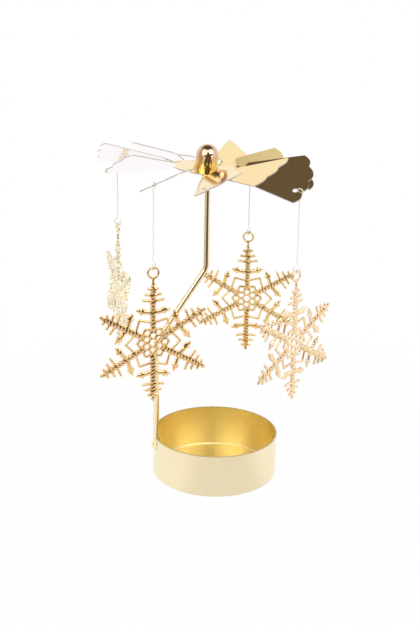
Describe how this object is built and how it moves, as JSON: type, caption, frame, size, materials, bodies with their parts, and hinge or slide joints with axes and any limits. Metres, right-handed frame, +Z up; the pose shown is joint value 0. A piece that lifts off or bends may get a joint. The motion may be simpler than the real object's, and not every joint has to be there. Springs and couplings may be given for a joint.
{
  "type": "tealight carousel",
  "caption": "Tealight carousel: round cup, bent post with a point bearing, and a twisted-blade rotor carrying snowflake charms on hooked wires.",
  "frame": {"origin": "centre of the cup's underside, on the surface it stands on", "axes": "+Z up; the post's foot is on the -X side of the cup, and its arm reaches towards +X"},
  "size_m": [0.0942, 0.0881, 0.1368],
  "materials": {
    "cup_gold": "polished gold-toned sheet, satin inside",
    "rod_gold": "polished gold-toned rod",
    "sheet_gold": "mirror-polished gold-toned sheet",
    "cap_gold": "mirror-polished gold-toned turning",
    "wire_gold": "bright gold-toned wire",
    "flake_gold": "gold-toned casting, darker in its ridges"
  },
  "bodies": {
    "stand": {"candle_cup": "cup_gold", "post": "rod_gold"},
    "rotor": {"rotor_fan": "sheet_gold", "bearing_cap": "cap_gold"},
    "hanger_1": {"hanger_1": "wire_gold"},
    "charm_1": {"snowflake_1": "flake_gold"},
    "hanger_2": {"hanger_2": "wire_gold"},
    "charm_2": {"snowflake_2": "flake_gold"},
    "hanger_3": {"hanger_3": "wire_gold"},
    "charm_3": {"snowflake_3": "flake_gold"},
    "hanger_4": {"hanger_4": "wire_gold"},
    "charm_4": {"snowflake_4": "flake_gold"}
  },
  "joints": [
    {"name": "rotor_spin", "type": "hinge", "parent": "stand", "child": "rotor", "pos_m": [-0.0047, 0, 0.133], "axis": [0, 0, 1], "continuous": true},
    {"name": "hanger_swing_1", "type": "hinge", "parent": "rotor", "child": "hanger_1", "pos_m": [-0.03289, 0.02765, 0.12877], "axis": [0.7003, 0.7139, 0], "range_deg": [-2.5, 25]},
    {"name": "snowflake_twist_1", "type": "hinge", "parent": "hanger_1", "child": "charm_1", "pos_m": [-0.03289, 0.02765, 0.09802], "axis": [0, 0, 1], "range_deg": [-96, 4]},
    {"name": "hanger_swing_2", "type": "hinge", "parent": "rotor", "child": "hanger_2", "pos_m": [-0.0332, -0.02744, 0.12661], "axis": [-0.6935, 0.7204, 0], "range_deg": [-2.5, 25]},
    {"name": "snowflake_twist_2", "type": "hinge", "parent": "hanger_2", "child": "charm_2", "pos_m": [-0.0332, -0.02744, 0.09586], "axis": [0, 0, 1], "range_deg": [-95, 5]},
    {"name": "hanger_swing_3", "type": "hinge", "parent": "rotor", "child": "hanger_3", "pos_m": [0.02171, -0.02766, 0.1213], "axis": [-0.7233, -0.6905, 0], "range_deg": [-2.5, 25]},
    {"name": "snowflake_twist_3", "type": "hinge", "parent": "hanger_3", "child": "charm_3", "pos_m": [0.02171, -0.02766, 0.09055], "axis": [0, 0, 1], "range_deg": [-32, 68]},
    {"name": "hanger_swing_4", "type": "hinge", "parent": "rotor", "child": "hanger_4", "pos_m": [0.02194, 0.02752, 0.12148], "axis": [0.7185, -0.6955, 0], "range_deg": [-2.5, 25]},
    {"name": "snowflake_twist_4", "type": "hinge", "parent": "hanger_4", "child": "charm_4", "pos_m": [0.02194, 0.02752, 0.09073], "axis": [0, 0, 1], "range_deg": [-78, 22]}
  ]
}
